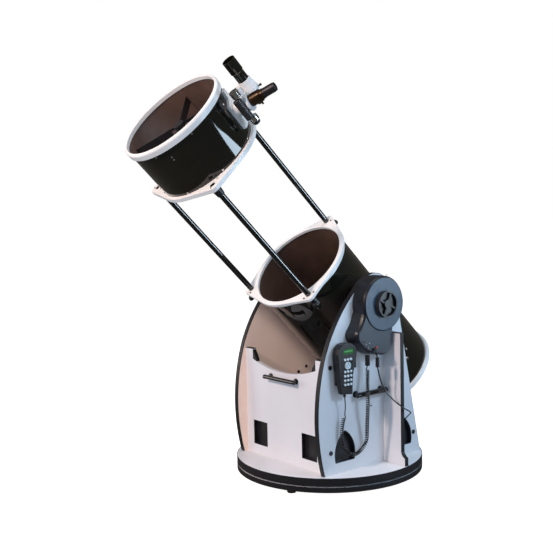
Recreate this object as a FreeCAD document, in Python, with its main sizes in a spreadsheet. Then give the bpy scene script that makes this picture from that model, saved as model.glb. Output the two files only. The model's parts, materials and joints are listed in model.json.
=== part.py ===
import FreeCAD, Part
import math
import os
from FreeCAD import Matrix, Placement, Rotation, Vector

# Collapsible three-rod dobsonian telescope, millimetres, +Z up, floor at z = 0.
# The object's front is -Y. The azimuth axis is the Z axis.
# The optical tube is drawn in its own frame: origin on the altitude axis,
# Z along the tube towards the sky, X the same as the row's X, Y the tube's upper side.

DIM = {
    "foot_height": 13.0,
    "foot_radius": 19.0,
    "foot_ring_radius": 350.0,
    "disc_radius": 375.0,
    "edge_band_thickness": 2.0,
    "ground_board_thickness": 20.0,
    "board_gap": 5.0,
    "turntable_thickness": 29.0,
    "azimuth_ring_radius": 150.0,
    "azimuth_ring_width": 34.0,
    "pivot_bolt_radius": 6.0,
    "panel_half_width": 253.0,
    "panel_thickness": 20.0,
    "panel_trim_thickness": 2.5,
    "front_panel_face": 236.0,
    "front_panel_thickness": 18.0,
    "fin_thickness": 16.0,
    "fin_front": 58.0,
    "fin_reach": 343.0,
    "fin_trim_thickness": 3.0,
    "front_handle_radius": 8.5,
    "side_handle_radius": 10.0,
    "bolt_cap_radius": 8.5,
    "bolt_cap_height": 3.0,
    "liner_wall": 2.0,
    "housing_base_radius": 107.0,
    "housing_face_radius": 101.0,
    "housing_face": 317.0,
    "housing_lobe_face": 313.0,
    "housing_wall": 4.0,
    "shaft_radius": 14.0,
    "shaft_fit": 0.06,
    "bearing_radius": 27.0,
    "worm_wheel_radius": 70.0,
    "worm_wheel_thickness": 12.0,
    "worm_radius": 10.0,
    "motor_radius": 16.5,
    "tension_knob_radius": 50.0,
    "tension_knob_depth": 18.0,
    "pivot_height": 691.0,
    "pivot_offset": 4.0,
    "tube_altitude": 44.0,
    "tube_radius": 195.0,
    "tube_wall": 1.5,
    "ring_hole_radius": 190.4,
    "ring_radius": 208.0,
    "lobe_centre_radius": 234.0,
    "lobe_tip_radius": 18.0,
    "lower_tube_bottom": -470.0,
    "lower_ring_bottom": 203.0,
    "lower_ring_thickness": 10.4,
    "cage_ring_bottom": 782.0,
    "cage_ring_thickness": 15.0,
    "cage_tube_top": 1000.0,
    "rod_radius": 11.0,
    "rod_wall": 2.0,
    "rod_circle_radius": 222.0,
    "rod_bottom": 138.0,
    "clamp_radius": 17.0,
    "clamp_length": 44.0,
    "collar_length": 34.0,
    "mirror_radius": 178.0,
    "mirror_thickness": 34.0,
    "mirror_back": -440.0,
    "vane_height": 28.0,
    "vane_thickness": 1.6,
    "spider_station": 928.0,
    "focuser_station": 895.0,
    "focuser_angle": 35.5,
    "drawtube_radius": 22.0,
    "drawtube_length": 112.0,
    "eyepiece_barrel_radius": 15.87,
    "eyepiece_radius": 16.6,
    "focus_shaft_radius": 5.5,
    "focus_knob_radius": 16.0,
    "fine_knob_radius": 13.5,
    "finder_radius": 24.5,
    "finder_axis_radius": 279.0,
    "finder_angle": 70.0,
    "controller_depth": 32.0,
    "curly_cord_radius": 6.25,
    "tail_radius": 2.1,
    "lead_radius": 2.5,
}

doc = FreeCAD.newDocument("dobsonian")
sheet = doc.addObject("Spreadsheet::Sheet", "dims")
for row_number, (alias, value) in enumerate(DIM.items(), start=1):
    sheet.set("A%d" % row_number, alias)
    sheet.set("B%d" % row_number, str(value))
    sheet.setAlias("B%d" % row_number, alias)
doc.recompute()

IDENTITY = Placement()
NODES = []
LABEL_COUNT = {}


def direction(vector):
    """Placement rotation that turns +Z onto the vector."""
    return Rotation(Vector(0, 0, 1), Vector(*vector))


def unique(stem):
    """A helper object name that is used once."""
    LABEL_COUNT[stem] = LABEL_COUNT.get(stem, 0) + 1
    return "%s_%d" % (stem, LABEL_COUNT[stem])


def assign(obj, prop, value):
    """Set a property from a number, or bind it to an expression on the sheet."""
    if isinstance(value, str):
        obj.setExpression(prop, value)
    else:
        setattr(obj, prop, value)


def cylinder(radius, height, base, axis=(0, 0, 1)):
    obj = doc.addObject("Part::Cylinder", unique("cyl"))
    assign(obj, "Radius", radius)
    assign(obj, "Height", height)
    obj.Placement = Placement(Vector(*base), direction(axis))
    return obj


def cone(radius_low, radius_high, height, base, axis=(0, 0, 1)):
    obj = doc.addObject("Part::Cone", unique("cone"))
    assign(obj, "Radius1", radius_low)
    assign(obj, "Radius2", radius_high)
    assign(obj, "Height", height)
    obj.Placement = Placement(Vector(*base), direction(axis))
    return obj


def box(length, width, height, corner, rotation=None):
    obj = doc.addObject("Part::Box", unique("box"))
    assign(obj, "Length", length)
    assign(obj, "Width", width)
    assign(obj, "Height", height)
    obj.Placement = Placement(Vector(*corner), rotation or Rotation())
    return obj


def fuse(parts):
    if len(parts) == 1:
        return parts[0]
    obj = doc.addObject("Part::MultiFuse", unique("fuse"))
    obj.Shapes = parts
    obj.Refine = True
    return obj


def group(parts):
    """Separate solids of one node, kept apart."""
    if len(parts) == 1:
        return parts[0]
    obj = doc.addObject("Part::Compound", unique("group"))
    obj.Links = parts
    return obj


def cut(base, tools):
    obj = doc.addObject("Part::Cut", unique("cut"))
    obj.Base = base
    obj.Tool = group(tools) if len(tools) > 1 else tools[0]
    obj.Refine = True
    return obj


def common(first, second):
    obj = doc.addObject("Part::MultiCommon", unique("common"))
    obj.Shapes = [first, second]
    return obj


def ring(outer, inner, height, base, axis=(0, 0, 1)):
    """A plain ring: one cylinder less another on the same axis."""
    return cut(cylinder(outer, height, base, axis), [cylinder(inner, height, base, axis)])


def line(start, end):
    return Part.LineSegment(Vector(start[0], start[1], 0), Vector(end[0], end[1], 0))


def arc(start, via, end):
    return Part.Arc(Vector(start[0], start[1], 0), Vector(via[0], via[1], 0), Vector(end[0], end[1], 0))


def circle(centre, radius):
    return Part.Circle(Vector(centre[0], centre[1], 0), Vector(0, 0, 1), radius)


def polygon(points):
    return [line(points[i], points[(i + 1) % len(points)]) for i in range(len(points))]


def plane_of(body, role):
    for feature in body.Origin.OriginFeatures:
        if feature.Role == role:
            return feature
    return None


def sketch_in(body, role, geometry, offset):
    sketch = body.newObject("Sketcher::SketchObject", unique("outline"))
    sketch.AttachmentSupport = (plane_of(body, role), [""])
    sketch.MapMode = "FlatFace"
    sketch.AttachmentOffset = Placement(Vector(0, 0, offset), Rotation())
    for item in geometry:
        sketch.addGeometry(item, False)
    return sketch


def plate(role, geometry, offset, thickness):
    """A plate padded from a closed outline on one of the body's own planes."""
    body = doc.addObject("PartDesign::Body", unique("plate"))
    sketch = sketch_in(body, role, geometry, offset)
    pad = body.newObject("PartDesign::Pad", unique("pad"))
    pad.Profile = sketch
    assign(pad, "Length", thickness)
    body.Tip = pad
    return body


def turned(geometry):
    """A body turned about its own Z axis from an outline in the XZ plane (radius, height)."""
    body = doc.addObject("PartDesign::Body", unique("turned"))
    sketch = sketch_in(body, "XZ_Plane", geometry, 0)
    revolution = body.newObject("PartDesign::Revolution", unique("revolution"))
    revolution.Profile = sketch
    revolution.ReferenceAxis = (sketch, ["V_Axis"])
    revolution.Angle = 360.0
    body.Tip = revolution
    return body


def moved(obj, placement):
    obj.Placement = placement.multiply(obj.Placement)
    return obj


def node(name, obj, frame=IDENTITY):
    """Name a finished sub-part and put it in the row's frame."""
    moved(obj, frame)
    obj.Label = name
    NODES.append(obj)
    return obj


def pipe(points, radius, bend_share=0.45):
    """A round cord along straight runs joined by tangent arcs."""
    knots = [Vector(*p) for p in points]
    edges = []
    here = knots[0]
    for i in range(1, len(knots) - 1):
        before = knots[i].sub(knots[i - 1])
        after = knots[i + 1].sub(knots[i])
        setback = bend_share * min(before.Length, after.Length)
        u = Vector(before).normalize()
        v = Vector(after).normalize()
        turn = u.getAngle(v)
        bend_radius = setback / math.tan(turn / 2.0)
        print("bend radius %.1f turn %.0f" % (bend_radius, math.degrees(turn)))
        enter = knots[i].sub(Vector(u).multiply(setback))
        leave = knots[i].add(Vector(v).multiply(setback))
        inward = Vector(v).sub(u).normalize()
        apex_gap = bend_radius * (1.0 / math.cos(turn / 2.0) - 1.0)
        apex = knots[i].add(inward.multiply(apex_gap))
        edges.append(Part.makeLine(here, enter))
        edges.append(Part.Arc(enter, apex, leave).toShape())
        here = leave
    edges.append(Part.makeLine(here, knots[-1]))
    route = doc.addObject("Part::Feature", unique("route"))
    route.Shape = Part.Wire(edges)
    start = knots[1].sub(knots[0]).normalize()
    section = doc.addObject("Part::Circle", unique("section"))
    assign(section, "Radius", radius)
    section.Placement = Placement(knots[0], Rotation(Vector(0, 0, 1), start))
    sweep = doc.addObject("Part::Sweep", unique("sweep"))
    sweep.Sections = [section]
    sweep.Spine = (route, ["Edge%d" % (i + 1) for i in range(len(edges))])
    sweep.Solid = True
    sweep.Frenet = False
    sweep.Transition = "Round corner"
    print("cord length %.1f" % route.Shape.Length)
    return sweep


# Stations shared by several parts.

GROUND_BOTTOM = DIM["foot_height"]
GROUND_TOP = GROUND_BOTTOM + DIM["ground_board_thickness"]
TABLE_BOTTOM = GROUND_TOP + DIM["board_gap"]
TABLE_TOP = TABLE_BOTTOM + DIM["turntable_thickness"]
HALF = DIM["panel_half_width"]
INNER = HALF - DIM["panel_thickness"]
PIVOT = Vector(0, DIM["pivot_offset"], DIM["pivot_height"])
TILT = 90.0 - DIM["tube_altitude"]
TUBE = Placement(PIVOT, Rotation(Vector(1, 0, 0), TILT))
PIVOT_FRAME = Placement(PIVOT, Rotation())
BORE_GAP = DIM["shaft_fit"]
ROD_ANGLES = [90.0, 219.6, 320.4]
SIDES = [1, -1]


def polar(radius, angle, height=0.0):
    """A point of the tube's frame from its radius and angle about the tube's axis."""
    turn = math.radians(angle)
    return (radius * math.cos(turn), radius * math.sin(turn), height)


# Ground board, its feet and the azimuth bearing.

def make_ground():
    board = cylinder("dims.disc_radius - dims.edge_band_thickness", "dims.ground_board_thickness",
                     (0, 0, GROUND_BOTTOM))
    bore = cylinder("dims.pivot_bolt_radius", "dims.ground_board_thickness", (0, 0, GROUND_BOTTOM))
    node("ground_board", cut(board, [bore]))
    node("ground_edge_band", ring("dims.disc_radius", "dims.disc_radius - dims.edge_band_thickness",
                                  "dims.ground_board_thickness", (0, 0, GROUND_BOTTOM)))
    feet = []
    for angle in (-66.5, 53.5, 173.5):
        feet.append(cone("dims.foot_radius - 3", "dims.foot_radius", "dims.foot_height",
                         polar(DIM["foot_ring_radius"], angle, 0.0)))
    node("ground_feet", group(feet))
    node("azimuth_ring", ring("dims.azimuth_ring_radius", "dims.azimuth_ring_radius - dims.azimuth_ring_width",
                              "dims.board_gap - 0.3", (0, 0, GROUND_TOP)))
    head = cylinder("dims.pivot_bolt_radius + 5", 5.0, (0, 0, GROUND_BOTTOM - 5.0))
    stem = cylinder("dims.pivot_bolt_radius", TABLE_TOP - GROUND_BOTTOM + 12.0, (0, 0, GROUND_BOTTOM))
    nut = cylinder("dims.pivot_bolt_radius + 7", 9.0, (0, 0, TABLE_TOP + 0.4))
    node("azimuth_pivot_bolt", fuse([head, stem, nut]))


# Turntable and the two altitude bearing panels.

PANEL_FRONT = [
    ((-253, TABLE_TOP), (-281, 290), (-239, 519)),
    ((-239, 519), (-176, 638), (-89, 741)),
    ((-89, 741), (-48, 779), (-8, 799)),
    ((-8, 799), (24, 802), (70, 784)),
]
PANEL_SHOULDER = ((70, 784), (126, 708), (157, 603))
PANEL_HEEL = (267, TABLE_TOP)


def panel_outline():
    geometry = [arc(*piece) for piece in PANEL_FRONT]
    geometry.append(arc(*PANEL_SHOULDER))
    geometry.append(line(PANEL_SHOULDER[2], PANEL_HEEL))
    geometry.append(line(PANEL_HEEL, PANEL_FRONT[0][0]))
    return geometry


def arch_outline(middle, inset=0.0):
    """A pointed arch with a flat sill."""
    half = 49.0 - inset
    sill = 107.0 + inset
    crown = 226.0 - inset
    shoulder = 182.0 - 0.5 * inset
    left = middle - half
    right = middle + half
    return [
        line((left, sill), (right, sill)),
        arc((right, sill), (middle + 0.86 * half, shoulder), (middle, crown)),
        arc((middle, crown), (middle - 0.86 * half, shoulder), (left, sill)),
    ]


ARCH_MIDDLES = [-151.0, 163.0]


def window_outline(side, inset=0.0):
    near = 104.0 + inset
    far = 191.0 - inset
    low = 105.0 + inset
    high = 203.0 - inset
    return polygon([(side * near, low), (side * far, low), (side * far, high), (side * near, high)])


def make_turntable():
    board = cylinder("dims.disc_radius - dims.edge_band_thickness", "dims.turntable_thickness",
                     (0, 0, TABLE_BOTTOM))
    bore = cylinder("dims.pivot_bolt_radius + dims.shaft_fit", "dims.turntable_thickness", (0, 0, TABLE_BOTTOM))
    node("turntable_board", cut(board, [bore]))
    node("turntable_edge_band", ring("dims.disc_radius", "dims.disc_radius - dims.edge_band_thickness",
                                     "dims.turntable_thickness", (0, 0, TABLE_BOTTOM)))


def make_side_panels():
    for side, name in ((1, "side_panel_right"), (-1, "side_panel_left")):
        start = INNER if side > 0 else -HALF
        board = plate("YZ_Plane", panel_outline(), start, "dims.panel_thickness")
        tools = [cylinder("dims.bearing_radius", "dims.panel_thickness",
                          (start, PIVOT.y, PIVOT.z), (1, 0, 0))]
        for middle in ARCH_MIDDLES:
            tools.append(plate("YZ_Plane", arch_outline(middle), start, "dims.panel_thickness"))
        node(name, cut(board, tools))


def make_front_panel():
    top = 492.0
    horn = 189.0
    geometry = [
        line((-INNER, TABLE_TOP), (INNER, TABLE_TOP)),
        line((INNER, TABLE_TOP), (INNER, top)),
        line((INNER, top), (horn, top)),
        line((horn, top), (horn, 452)),
        arc((horn, 452), (0, 419), (-horn, 452)),
        line((-horn, 452), (-horn, top)),
        line((-horn, top), (-INNER, top)),
        line((-INNER, top), (-INNER, TABLE_TOP)),
    ]
    back = DIM["front_panel_face"] - DIM["front_panel_thickness"]
    board = plate("XZ_Plane", geometry, back, "dims.front_panel_thickness")
    holes = [plate("XZ_Plane", window_outline(side), back, "dims.front_panel_thickness") for side in SIDES]
    node("front_panel", cut(board, holes))
    corners = []
    for side in SIDES:
        points = [(side * horn, 489), (side * horn, 452), (side * 163, 440), (side * 170, 458)]
        corners.append(plate("XZ_Plane", polygon(points), back + 1.0, "dims.front_panel_thickness - 2"))
    trimmed = cut(group(corners), [scoop_body(back)])
    node("corner_brackets", trimmed)


def scoop_body(back):
    """The board below the scoop, used to seat the corner brackets on its edge."""
    geometry = [
        line((-200, 380), (200, 380)),
        line((200, 380), (200, 452)),
        line((200, 452), (189, 452)),
        arc((189, 452), (0, 419), (-189, 452)),
        line((-189, 452), (-200, 452)),
        line((-200, 452), (-200, 380)),
    ]
    return plate("XZ_Plane", geometry, back, "dims.front_panel_thickness")


def make_fins():
    front = DIM["fin_front"]
    reach = DIM["fin_reach"]
    outline = [
        line((HALF, TABLE_TOP), (362, TABLE_TOP)),
        line((362, TABLE_TOP), (362, 96)),
        arc((362, 96), (350, 104), (reach, 118)),
        line((reach, 118), (reach, 575)),
        line((reach, 575), (HALF, 575)),
        line((HALF, 575), (HALF, TABLE_TOP)),
    ]
    back = -front - DIM["fin_thickness"]
    fins = []
    trims = []
    for side in SIDES:
        mirror = [flipped(item, side) for item in outline]
        fins.append(plate("XZ_Plane", mirror, back, "dims.fin_thickness"))
        trims.append(fin_trim(side, back))
    node("brace_fins", group(fins))
    return trims


def flipped(item, side):
    """The same outline piece on the right (side 1) or mirrored to the left (side -1)."""
    if side > 0:
        return item
    mirror = Matrix()
    mirror.scale(Vector(-1, 1, 1))
    copy = item.copy()
    copy.transform(mirror)
    return copy


def fin_trim(side, back):
    reach = DIM["fin_reach"]
    skin = DIM["fin_trim_thickness"]
    outline = [
        line((362, TABLE_TOP), (362, 96)),
        arc((362, 96), (350, 104), (reach, 118)),
        line((reach, 118), (reach, 575)),
        line((reach, 575), (HALF + 12, 575)),
        line((HALF + 12, 575), (HALF + 12, 575 + skin)),
        line((HALF + 12, 575 + skin), (reach + skin, 575 + skin)),
        line((reach + skin, 575 + skin), (reach + skin, 118)),
        arc((reach + skin, 118), (353, 106.5), (362, 99)),
        line((362, 99), (362 + skin, 99)),
        line((362 + skin, 99), (362 + skin, TABLE_TOP)),
        line((362 + skin, TABLE_TOP), (362, TABLE_TOP)),
    ]
    pieces = [flipped(item, side) for item in outline]
    return plate("XZ_Plane", pieces, back, "dims.fin_thickness")


def arc_centre(start, via, end):
    curve = Part.Arc(Vector(start[0], start[1], 0), Vector(via[0], via[1], 0), Vector(end[0], end[1], 0))
    return curve.toShape().Curve.Center


def pushed(point, centre, amount):
    """The point moved away from an arc's centre."""
    out = Vector(point[0], point[1], 0).sub(centre)
    far = centre.add(out.multiply(1.0 + amount / out.Length))
    return (far.x, far.y)


def panel_trim_outline():
    skin = DIM["panel_trim_thickness"]
    geometry = [arc(*piece) for piece in PANEL_FRONT]
    outer = []
    for piece in PANEL_FRONT:
        centre = arc_centre(*piece)
        outer.append([pushed(point, centre, skin) for point in piece])
    outer[0][0] = (PANEL_FRONT[0][0][0] - skin, TABLE_TOP)
    for index in range(1, len(outer)):
        outer[index - 1][2] = outer[index][0]
    last = PANEL_FRONT[-1][2]
    geometry.append(line(last, outer[-1][2]))
    for index in range(len(outer) - 1, -1, -1):
        geometry.append(arc(outer[index][2], outer[index][1], outer[index][0]))
    geometry.append(line(outer[0][0], PANEL_FRONT[0][0]))
    return geometry


def make_trims(fin_trims):
    skin = DIM["panel_trim_thickness"]
    pieces = list(fin_trims)
    for start in (INNER, -HALF):
        pieces.append(plate("YZ_Plane", panel_trim_outline(), start, "dims.panel_thickness"))
    back = DIM["front_panel_face"] - DIM["front_panel_thickness"]
    for side in SIDES:
        low = min(side * 189.0, side * INNER)
        pieces.append(box(INNER - 189.0, "dims.front_panel_thickness", skin,
                          (low, -DIM["front_panel_face"], 492.0)))
    node("panel_trims", group(pieces))


def bar_handle(first, second, out, size):
    """A round bar on two posts. The ends lie on the board, out is its outward direction."""
    stand_off = 24.0
    start = Vector(*first)
    finish = Vector(*second)
    outward = Vector(*out)
    along = finish.sub(start)
    bar_start = start.add(Vector(outward).multiply(stand_off))
    bar = cylinder("dims.%s" % size, along.Length, tuple(bar_start), tuple(along))
    posts = []
    for share in (0.08, 0.92):
        foot = start.add(Vector(along).multiply(share))
        posts.append(cylinder("dims.%s - 1" % size, stand_off, tuple(foot), out))
        posts.append(cylinder("dims.%s + 3" % size, 3.0, tuple(foot), out))
    return fuse([bar] + posts)


def make_handles():
    face = -DIM["front_panel_face"]
    handles = [bar_handle((-87, face, 397), (93, face, 397), (0, -1, 0), "front_handle_radius")]
    for side in SIDES:
        handles.append(bar_handle((side * HALF, -107, 353), (side * HALF, 49, 353), (side, 0, 0),
                                  "side_handle_radius"))
    node("bar_handles", group(handles))


def make_panel_bolts():
    caps = []
    for side in SIDES:
        for place in ((-222, 470), (-224, 151), (226, 151)):
            caps.append(cylinder("dims.bolt_cap_radius", "dims.bolt_cap_height",
                                 (side * HALF, place[0], place[1]), (side, 0, 0)))
        caps.append(cylinder(3.2, 2.0, (side * HALF, -12, 296), (side, 0, 0)))
    for place in ((42, 355), (86, 373)):
        caps.append(cylinder("dims.bolt_cap_radius - 2", "dims.bolt_cap_height",
                             (-INNER, place[0], place[1]), (1, 0, 0)))
    node("panel_bolts", group(caps))


def make_liners():
    """Black moulded cups that line the cut-outs and close them near the inner face."""
    wall = DIM["liner_wall"]
    liners = []
    for side in SIDES:
        start = INNER if side > 0 else -HALF
        pocket_start = start + wall if side > 0 else start
        for middle in ARCH_MIDDLES:
            shell = plate("YZ_Plane", arch_outline(middle), start, "dims.panel_thickness")
            pocket = plate("YZ_Plane", arch_outline(middle, wall), pocket_start,
                           "dims.panel_thickness - dims.liner_wall")
            liners.append(cut(shell, [pocket]))
    back = DIM["front_panel_face"] - DIM["front_panel_thickness"]
    for side in SIDES:
        shell = plate("XZ_Plane", window_outline(side), back, "dims.front_panel_thickness")
        pocket = plate("XZ_Plane", window_outline(side, wall), back + wall,
                       "dims.front_panel_thickness - dims.liner_wall")
        liners.append(cut(shell, [pocket]))
    node("cutout_liners", group(liners))


# Altitude drive on the right panel.

LOBE_BASE = [(-104, 660), (-117, 626), (-138, 597), (-142, 575), (-126, 551), (-80, 515), (-10, 495),
             (38, 504), (54, 548), (54, 650), (-60, 720)]
LOBE_FACE = [(-92, 655), (-105, 622), (-125, 597), (-129, 576), (-114, 553), (-72, 523), (-10, 507),
             (31, 515), (47, 552), (47, 650), (-60, 715)]


def lobe_section(share, height):
    """The lower lobe's outline between its base (0) and its face (1)."""
    p = [(a[0] + (b[0] - a[0]) * share, a[1] + (b[1] - a[1]) * share) for a, b in zip(LOBE_BASE, LOBE_FACE)]
    geometry = [
        arc(p[0], p[1], p[2]),
        arc(p[2], p[3], p[4]),
        arc(p[4], p[5], p[6]),
        arc(p[6], p[7], p[8]),
        line(p[8], p[9]),
        line(p[9], p[10]),
        line(p[10], p[0]),
    ]
    sketch = doc.addObject("Sketcher::SketchObject", unique("lobe"))
    sketch.Placement = Placement(Vector(height, 0, 0), Rotation(Vector(1, 1, 1), 120))
    for item in geometry:
        sketch.addGeometry(item, False)
    return sketch


def make_housing():
    face = DIM["housing_face"]
    base = DIM["housing_base_radius"]
    rim = DIM["housing_face_radius"]
    depth = face - HALF
    profile = [
        line((0, 0), (base, 0)),
        line((base, 0), (base - 1.5, depth - 14)),
        arc((base - 1.5, depth - 14), (base - 3.2, depth - 5.5), (rim, depth - 3)),
        line((rim, depth - 3), (rim - 1.5, depth)),
        line((rim - 1.5, depth), (0, depth)),
        line((0, depth), (0, 0)),
    ]
    drum = turned(profile)
    drum.Placement = Placement(Vector(HALF, PIVOT.y, PIVOT.z), direction((1, 0, 0)))
    lobe = doc.addObject("Part::Loft", "housing_lobe")
    stations = [(0.0, HALF), (0.3, HALF + 45), (0.62, HALF + 55), (1.0, DIM["housing_lobe_face"])]
    lobe.Sections = [lobe_section(share, height) for share, height in stations]
    lobe.Solid = True
    lobe.Ruled = True
    shell = fuse([drum, lobe])
    wall = DIM["housing_wall"]
    gear_room = cylinder("dims.housing_base_radius - dims.housing_wall - 8", depth - wall,
                         (HALF, PIVOT.y, PIVOT.z), (1, 0, 0))
    motor_room = box(44.0, 142.0, 52.0, (HALF, -98, 584))
    shaft_hole = cylinder("dims.shaft_radius + 1.5", depth, (HALF, PIVOT.y, PIVOT.z), (1, 0, 0))
    node("altitude_housing", cut(shell, [fuse([gear_room, motor_room, shaft_hole])]))


WORM_X = 280.0
WORM_Z = DIM["pivot_height"] - DIM["worm_wheel_radius"] - DIM["worm_radius"] - 0.4


def make_drive():
    can = cylinder("dims.motor_radius", 52.0, (WORM_X, -94, WORM_Z), (0, 1, 0))
    nose = cylinder("dims.motor_radius - 8", 4.0, (WORM_X, -42, WORM_Z), (0, 1, 0))
    cradle = box(WORM_X - HALF, 40.0, 10.0, (HALF, -90, WORM_Z - DIM["motor_radius"] - 4))
    node("altitude_motor", fuse([can, nose, cradle]))
    screw = cylinder("dims.worm_radius", 44.0, (WORM_X, -16, WORM_Z), (0, 1, 0))
    spindle = cylinder(4.0, 70.0, (WORM_X, -37.5, WORM_Z), (0, 1, 0))
    node("altitude_worm", fuse([screw, spindle]))
    bearings = []
    for side in SIDES:
        base = (side * INNER, PIVOT.y, PIVOT.z)
        bush = cylinder("dims.bearing_radius", "dims.panel_thickness", base, (side, 0, 0))
        bore = cylinder("dims.shaft_radius + dims.shaft_fit", "dims.panel_thickness", base, (side, 0, 0))
        bearings.append(cut(bush, [bore]))
    cap_base = (-HALF, PIVOT.y, PIVOT.z)
    cap = cylinder(36.0, 16.0, cap_base, (-1, 0, 0))
    cap_room = cylinder("dims.shaft_radius + 2", 11.0, cap_base, (-1, 0, 0))
    bearings.append(cut(cap, [cap_room]))
    node("altitude_bearings", group(bearings))
    case = box(120.0, 96.0, 46.0, (-60, 60, TABLE_TOP))
    can_two = cylinder(18.0, 52.0, (0, 156, TABLE_TOP + 24), (0, 1, 0))
    node("azimuth_drive", fuse([case, can_two]))


def make_tube_bearings():
    """Saddles on the tube, with the altitude shaft and its worm wheel."""
    hubs = []
    shafts = []
    gap = 0.5
    for side in SIDES:
        disc = cylinder(62.0, INNER - gap - 150.0, (side * 150.0, 0, 0), (side, 0, 0))
        hubs.append(disc)
        length = (DIM["housing_face"] + 11.0 if side > 0 else HALF + 9.0) - INNER + gap
        shafts.append(cylinder("dims.shaft_radius", length, (side * (INNER - gap), 0, 0), (side, 0, 0)))
    barrel = cylinder("dims.tube_radius", 160.0, (0, 0, -80))
    node("trunnion_hubs", cut(group(hubs), [barrel]), TUBE)
    wheel = cylinder("dims.worm_wheel_radius", "dims.worm_wheel_thickness",
                     (WORM_X - DIM["worm_wheel_thickness"] / 2.0, 0, 0), (1, 0, 0))
    node("altitude_shaft", group([fuse([shafts[0], wheel]), shafts[1]]), TUBE)


def make_tension_knob():
    start = DIM["housing_face"] + 0.6
    depth = DIM["tension_knob_depth"]
    body = cylinder("dims.tension_knob_radius", "dims.tension_knob_depth", (start, 0, 0), (1, 0, 0))
    bore = cylinder("dims.shaft_radius + dims.shaft_fit", 11.5, (start, 0, 0), (1, 0, 0))
    dish = cylinder("dims.tension_knob_radius - 6", 12.0, (start + depth - 12.0, 0, 0), (1, 0, 0))
    hub = cylinder("dims.shaft_radius + 4", 12.0, (start + depth - 12.0, 0, 0), (1, 0, 0))
    ribs = []
    for angle in (20.0, 110.0):
        turn = Rotation(Vector(1, 0, 0), angle)
        corner = turn.multVec(Vector(0, -44.5, -3.5)).add(Vector(start + depth - 12.0, 0, 0))
        ribs.append(box(10.0, 89.0, 7.0, tuple(corner), turn))
    cup = cut(body, [dish])
    node("tension_knob", cut(fuse([cup, hub] + ribs), [bore]), TUBE)


# Lower tube assembly, in the tube's frame.

def lobed_outline():
    """A circle joined by tangents to three small tip circles."""
    big = DIM["ring_radius"]
    tip = DIM["lobe_tip_radius"]
    away = DIM["lobe_centre_radius"]
    spread = math.degrees(math.acos((big - tip) / away))
    geometry = []
    for index, angle in enumerate(ROD_ANGLES):
        centre = Vector(*polar(away, angle))
        corners = []
        for turn in (-spread, 0.0, spread):
            corners.append(centre.add(Vector(*polar(tip, angle + turn))))
        start = polar(big, angle - spread)
        end = polar(big, angle + spread)
        geometry.append(line(start, tuple(corners[0])))
        geometry.append(arc(tuple(corners[0]), tuple(corners[1]), tuple(corners[2])))
        geometry.append(line(tuple(corners[2]), end))
        following = ROD_ANGLES[(index + 1) % 3] + (360.0 if index == 2 else 0.0)
        middle = (angle + following) / 2.0
        geometry.append(arc(end, polar(big, middle), polar(big, following - spread)))
    return geometry


def make_lower_tube():
    bottom = DIM["lower_tube_bottom"]
    ring_bottom = DIM["lower_ring_bottom"]
    node("lower_tube", ring("dims.tube_radius", "dims.tube_radius - dims.tube_wall",
                            "dims.lower_ring_bottom - dims.lower_tube_bottom", (0, 0, bottom)), TUBE)
    top = plate("XY_Plane", lobed_outline(), ring_bottom, "dims.lower_ring_thickness")
    tools = [cylinder("dims.ring_hole_radius", "dims.lower_ring_thickness", (0, 0, ring_bottom))]
    for angle in ROD_ANGLES:
        tools.append(cylinder("dims.rod_radius + dims.shaft_fit", "dims.lower_ring_thickness",
                              polar(DIM["rod_circle_radius"], angle, ring_bottom)))
    flange = cut(top, tools)
    skirt = ring("dims.tube_radius + 4", "dims.tube_radius", 14.0, (0, 0, ring_bottom - 14.0))
    node("lower_ring", fuse([flange, skirt]), TUBE)
    outline = [
        line((187, bottom - 6), (201.5, bottom - 6)),
        arc((201.5, bottom - 6), (203.0, bottom - 5.4), (203.6, bottom - 4)),
        line((203.6, bottom - 4), (201.5, bottom + 14)),
        line((201.5, bottom + 14), (195, bottom + 14)),
        line((195, bottom + 14), (195, bottom)),
        line((195, bottom), (187, bottom)),
        line((187, bottom), (187, bottom - 6)),
    ]
    node("bottom_ring", turned(outline), TUBE)


def make_rod_clamps():
    clamps = []
    length = DIM["clamp_length"]
    low = DIM["lower_ring_bottom"] - length
    middle = low + 16.0
    around = DIM["rod_circle_radius"]
    for index, angle in enumerate(ROD_ANGLES):
        base = polar(around, angle, low)
        sleeve = cylinder("dims.clamp_radius", "dims.clamp_length", base)
        outward = polar(1.0, angle)
        boss = cylinder(9.0, 24.0, polar(around, angle, middle), outward)
        bore = cylinder("dims.rod_radius + dims.shaft_fit", "dims.clamp_length", base)
        thread = cylinder("4 + dims.shaft_fit", 14.0, polar(around + 11.0, angle, middle), outward)
        clamps.append(cut(fuse([sleeve, boss]), [bore, thread]))
        stem = cylinder(4.0, 14.0, polar(around + 12.0, angle, middle), outward)
        grip = cylinder(11.0, 9.0, polar(around + 24.5, angle, middle), outward)
        cap = cone(11.0, 8.5, 3.0, polar(around + 33.5, angle, middle), outward)
        node("rod_knob_%s" % ("top", "left", "right")[index], fuse([stem, grip, cap]), TUBE)
    node("rod_clamps", group(clamps), TUBE)


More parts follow.
